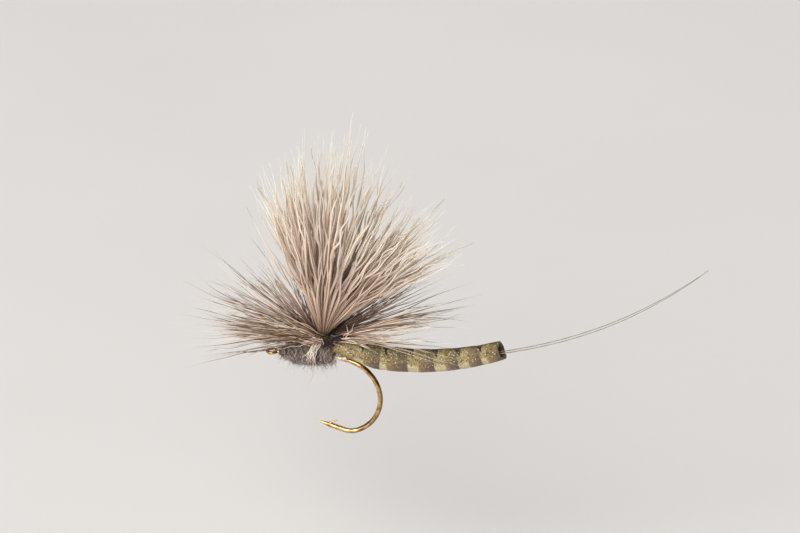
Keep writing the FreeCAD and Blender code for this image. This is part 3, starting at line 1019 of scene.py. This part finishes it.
def fur_layer(count, lengths, girths, stand):
    """Fibres spun round the core one way or the other, as one strand group."""
    steps = 9
    low, high = FUR_X
    s = np.linspace(0, 1, steps)[None]
    x = column(low + 0.12, high - 0.05, count)
    turn = column(0, 2 * math.pi, count)
    length = column(*lengths, count)
    out = column(*stand, count)
    way = np.where(column(0, 1, count) < 0.72, 1.0, -1.0)
    start = thorax_radius(x) * column(0.72, 0.95, count)
    start = start * (0.6 + 0.4 * smooth(x, low, low + 0.8))
    radial = start + out * length * s * (0.55 + 0.45 * s)
    swept = turn + way * (length * s / np.maximum(start, 0.4)) * (1 - out)
    slide = rng.normal(0, 0.32, count)[:, None] * length * s
    height = THORAX_RISE + radial * np.cos(swept)
    paths = xyz(x + slide, radial * np.sin(swept), height) + wander(count, steps, 0.07)
    paths[..., 2] = np.minimum(paths[..., 2], FUR_TOP)
    radii = column(*girths, count) * (1 - 0.7 * s**2)
    shade = column(0, 1, count)
    clump = 0.20 * np.sin(4.1 * x + 2 * turn) + 0.16 * np.sin(9.3 * x - turn)
    front = 0.35 * fall(x, 1.2, 2.2)
    tints = ramp(np.clip(shade + clump - front, 0, 1) * np.ones_like(s), FUR_COLOURS)
    return paths, radii, tints, 4, None


def thorax_pieces():
    fur = fur_material()
    put(thorax_felt(), "hook_body", fur, "dubbed_fur", "thorax_dubbing")
    fibres = strands("thorax_fibres", [fur_layer(*layer) for layer in FUR_LAYERS])
    put(fibres, "hook_body", fur, "dubbed_fur", "thorax_dubbing")


# Thread and varnish


ROOT_LUMP = (POST_X + 0.84, -0.58, 2.13)
ROOT_SHADE_RUN = (POST_X + 1.72, -0.80, 2.74)
SMEAR = (8.25, -0.93, 1.22)
CLEAR_TINT = (236, 232, 220)
THREAD_WOBBLE = 0.012


def wound(on_shank, span, radii, pitch, girth, phase, colour):
    """A thread wound as a helix round the shank, or else round the wing post, as one strand
    group. span and radii are its first and last place along the axis and distance from it."""
    turns = abs(span[1] - span[0]) / pitch
    steps_per_turn = 26
    steps = int(turns * steps_per_turn) + 2
    s = np.linspace(0, 1, steps)
    angle = 2 * math.pi * turns * s + phase
    radius = radii[0] + (radii[1] - radii[0]) * s + THREAD_WOBBLE * np.sin(angle * 0.73)
    along = span[0] + (span[1] - span[0]) * s + THREAD_WOBBLE * np.sin(angle * 1.31 + 1)
    sin, cos = np.sin(angle), np.cos(angle)
    if on_shank:
        path = xyz(along, radius * sin, radius * cos)
        out = xyz(0 * s, sin, cos)
    else:
        path = xyz(POST_X + radius * cos, radius * sin, along)
        out = xyz(cos, sin, 0 * s)
    tints = np.tile(linear(colour), (1, steps, 1))
    return path[None], np.full((1, steps), girth), tints, 8, out[None]


def lump(name, centre, size, rough, colour, seed, squash):
    """A closed uneven blob of varnish or glue."""
    draw = np.random.default_rng(seed)
    rows, around = 36, 48
    theta = np.linspace(0.03, math.pi - 0.03, rows)[:, None]
    phi = np.linspace(0, 2 * math.pi, around, endpoint=False)[None]
    shape = 1 + 0 * theta * phi
    for order in range(1, 5):
        a, b, c, d = draw.uniform(0, 2 * math.pi, 4)
        dents = rough / order
        shape = shape + dents * np.sin(order * phi + a) * np.sin(order * theta + b)
        across = np.sin((order + 1) * theta + c) * np.cos(order * phi + d)
        shape = shape + dents * across * np.sin(theta)
    z = np.cos(theta) * np.ones_like(phi)
    z = np.sign(z) * np.abs(z) ** squash
    ball = xyz(np.sin(theta) * np.cos(phi), np.sin(theta) * np.sin(phi), z)
    points = ball * shape[..., None] * np.asarray(size) + np.asarray(centre)
    return closed_form(name, points[::-1], linear(colour))


def thread_pieces():
    waxed = thread_material("waxed_thread", (34, 26, 22), (96, 78, 66), 0.5, 0.2)
    glossy = thread_material("varnished_thread", (22, 16, 14), (74, 58, 48), 0.3, 0.9)
    head_start, head_end, head_radius = HEAD_LOW[0], HEAD_HIGH[0], HEAD_HIGH[1]
    head_out, head_back = (head_start, head_end), (head_end, head_start + 0.1)
    whip_span, whip_radius = (WHIP_LOW[0], WHIP_HIGH[0]), WHIP_HIGH[1] - 0.04
    wrap_foot, wrap_top = WRAP_LOW[2], WRAP_HIGH[2]
    stem_foot, stem_top = STEM_LOW[2], STEM_HIGH[2]
    head = (
        (True, head_out, (0.26, head_radius - 0.02), 0.085, 0.045, 0.3, (60, 48, 42)),
        (True, head_back, (head_radius, 0.28), 0.19, 0.04, 1.9, (72, 58, 50)),
    )
    whip = (
        (True, whip_span, (whip_radius - 0.06, whip_radius), 0.08, 0.042, 2.2, (58, 46, 40)),
    )
    collar = (
        (False, (wrap_foot, wrap_top + 0.12), (0.66, 0.70), 0.085, 0.046, 0.0, (40, 30, 26)),
        (False, (wrap_top, wrap_foot), (0.72, 0.70), 0.15, 0.044, 1.0, (46, 34, 30)),
    )
    stem = (
        (False, (stem_foot, stem_top), (0.74, 0.70), 0.14, 0.085, 0.5, (52, 38, 30)),
        (False, (stem_top, stem_foot), (0.80, 0.78), 0.20, 0.07, 2.5, (66, 48, 38)),
    )
    for name, turns, material, slot, node in (
        ("head_thread", head, waxed, "dark_thread", "head_wraps"),
        ("whip_thread", whip, glossy, "varnished_thread", "whip_finish"),
        ("post_thread", collar, glossy, "varnished_thread", "post_wraps"),
        ("hackle_stem_turns", stem, waxed, "varnished_thread", "hackle_stem"),
    ):
        wraps = strands(name, [wound(*turn) for turn in turns])
        put(wraps, "hook_body", material, slot, node)


def lump_pieces():
    """Varnish at the wing's root and over the head, and clear glue on the film's near side. The
    dark run beside the root is partly varnish and partly painted shade.
    """
    black = varnish_material("black_varnish", (8, 6, 5), (28, 20, 16), 0.12)
    brown = varnish_material("head_varnish", (44, 34, 28), (110, 88, 72), 0.9)
    root = ("hook_body", black, "black_varnish", "post_cement")
    head = ("hook_body", brown, "black_varnish", "head_cement")
    clear = ("abdomen", glue_material(), "clear_glue", "hook_glue")
    coat_x, coat_size = (COAT_LOW[0] + COAT_HIGH[0]) / 2, (0.24, COAT_HIGH[1], COAT_HIGH[1])
    bead = (GLUE_LOW + GLUE_HIGH) / 2 + np.array([0.0, 0.03, 0.0])
    for name, centre, size, rough, colour, seed, squash, looks in (
        ("root_varnish", ROOT_LUMP, (0.46, 0.40, 0.17), 0.12, (24, 17, 14), 5, 0.8, root),
        # A dark lump beside the root: partly varnish, partly painted shade put in the shadow there.
        ("varnish_and_shade_run", ROOT_SHADE_RUN, (0.86, 0.32, 0.33), 0.13, (20, 14, 12), 9, 0.8, root),
        ("head_varnish_coat", (coat_x, 0, 0), coat_size, 0.05, (80, 64, 54), 8, 1.0, head),
        ("glue_bead", bead, (0.30, 0.14, 0.18), 0.16, CLEAR_TINT, 3, 1.0, clear),
        ("glue_smear", SMEAR, (0.32, 0.13, 0.17), 0.18, CLEAR_TINT, 6, 1.0, clear),
    ):
        put(lump(name, centre, size, rough, colour, seed, squash), *looks)


# Tails


TAIL_STEPS = 90
TAIL_RADIUS = 0.055
TAIL_COLOURS = ((0.0, (150, 138, 126)), (0.3, (158, 146, 136)), (1.0, (120, 104, 92)))


def tail_path(node):
    """The middle line of a CAD fibre, by curves fitted to its points."""
    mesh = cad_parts[node].data
    points = np.zeros(len(mesh.vertices) * 3)
    mesh.vertices.foreach_get("co", points)
    x, y, z = points.reshape(-1, 3).T / MM
    at = np.linspace(x.min() + 0.05, x.max() - 0.02, TAIL_STEPS)
    fitted_y = np.polyval(np.polyfit(x, y, 2), at)
    return xyz(at, fitted_y, np.polyval(np.polyfit(x, z, 4), at))


def tail_pieces():
    material = hair_material("tail_fibre_hair", 0.38, 0.12)
    s = np.linspace(0, 1, TAIL_STEPS)
    radii = TAIL_RADIUS * (1 - 0.60 * s) * (1 + 0.05 * np.sin(60 * s))
    tints = ramp(s, TAIL_COLOURS) * (1 - 0.22 * (np.sin(75 * s) > 0.35))[:, None]
    for side in ("far", "near"):
        node = "tail_fibre_" + side
        path = tail_path(node)
        path[:, 1] += 0.05 * np.sin(9 * s) * s
        made = strands("tail_strand_" + side, [(path[None], radii[None], tints[None], 8, None)])
        put(made, "tail_" + side, material, "tail_fibre", node)


# The rest of the scene


# The fly hangs clear of the board, as it does in a vice
FLOOR_DROP = 18.0
FLOOR_REACH = 6.0
UNSEEN_HAIR = (150, 118, 94)
# The place that the lamps point at, in metres
LIT = (0.012, 0.0, 0.005)


def dress_frame(foam):
    """Materials for the CAD nodes that are shown as they are."""
    thread = thread_material("hidden_thread", (34, 26, 22), (92, 74, 62), 0.5, 0.2)
    given = {
        "hook": metal_material(),
        "thread_base": thread,
        "butt_wraps": thread,
        "body_tie_wraps": thread,
        "wing_butts": hair_material("clipped_hair_butts", 0.5, 0.16),
        "body_tag": foam,
        "tail_glue": glue_material(),
        "wing_root": varnish_material("varnished_hair_root", (70, 50, 36), (150, 116, 88), 0.6),
    }
    for node, material in given.items():
        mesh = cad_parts[node].data
        mesh.materials.clear()
        mesh.materials.append(material)
        add_tints(mesh, linear(UNSEEN_HAIR))


def floor():
    z = (HOOK_LOW[2] - FLOOR_DROP) * MM
    around = ((-1, -1), (1, -1), (1, 1), (-1, 1))
    corners = [(x * FLOOR_REACH, y * FLOOR_REACH, z) for x, y in around]
    mesh = bpy.data.meshes.new("floor")
    mesh.from_pydata(corners, [], [(0, 1, 2, 3)])
    mesh.materials.append(floor_material())
    add_object("floor", mesh)


def lamp(name, place, size, power, colour):
    data = bpy.data.lights.new(name, "AREA")
    data.shape = "DISK"
    data.size = size
    data.energy = power
    data.color = colour
    made = add_object(name, data)
    made.location = Vector(place)
    made.rotation_euler = (Vector(LIT) - made.location).to_track_quat("-Z", "Y").to_euler()


def light():
    world = bpy.data.worlds.new("studio")
    world.use_nodes = True
    background = world.node_tree.nodes["Background"]
    background.inputs["Color"].default_value = (0.96, 0.98, 1.0, 1)
    background.inputs["Strength"].default_value = 0.18
    bpy.context.scene.world = world
    lamp("key", (-0.42, -1.26, 0.89), 2.10, 39.0, (1.0, 0.99, 0.975))
    lamp("overhead", (-0.15, 0.35, 1.05), 1.50, 3.6, (1.0, 0.99, 0.98))
    lamp("fill", (0.95, 0.35, 0.50), 0.60, 0.7, (0.97, 0.98, 1.0))


def camera():
    """The viewing angle of a close-up from the fly's right side, above and a little behind."""
    azimuth, elevation = math.radians(13.75), math.radians(24.4)
    distance = 0.400
    target = Vector((13.42, 0.0, 10.88)) * MM
    level = math.cos(elevation)
    back = Vector((math.sin(azimuth) * level, -math.cos(azimuth) * level, math.sin(elevation)))
    data = bpy.data.cameras.new("camera")
    data.sensor_width = 36.0
    data.lens = 180.0
    data.clip_start = 0.01
    data.clip_end = 20.0
    made = add_object("camera", data)
    made.location = target + back * distance
    made.rotation_mode = "QUATERNION"
    made.rotation_quaternion = (-back).to_track_quat("-Z", "Y")
    bpy.context.scene.camera = made


bpy.context.scene.view_settings.view_transform = "Standard"
foam = foam_material()
dress_frame(foam)
put(abdomen_skin(), "abdomen", film_material(), "printed_film", "abdomen_film")
put(abdomen_foam(), "abdomen", foam, "body_foam", "abdomen_core")
wing_pieces()
hackle_pieces()
thorax_pieces()
thread_pieces()
lump_pieces()
tail_pieces()
floor()
light()
camera()
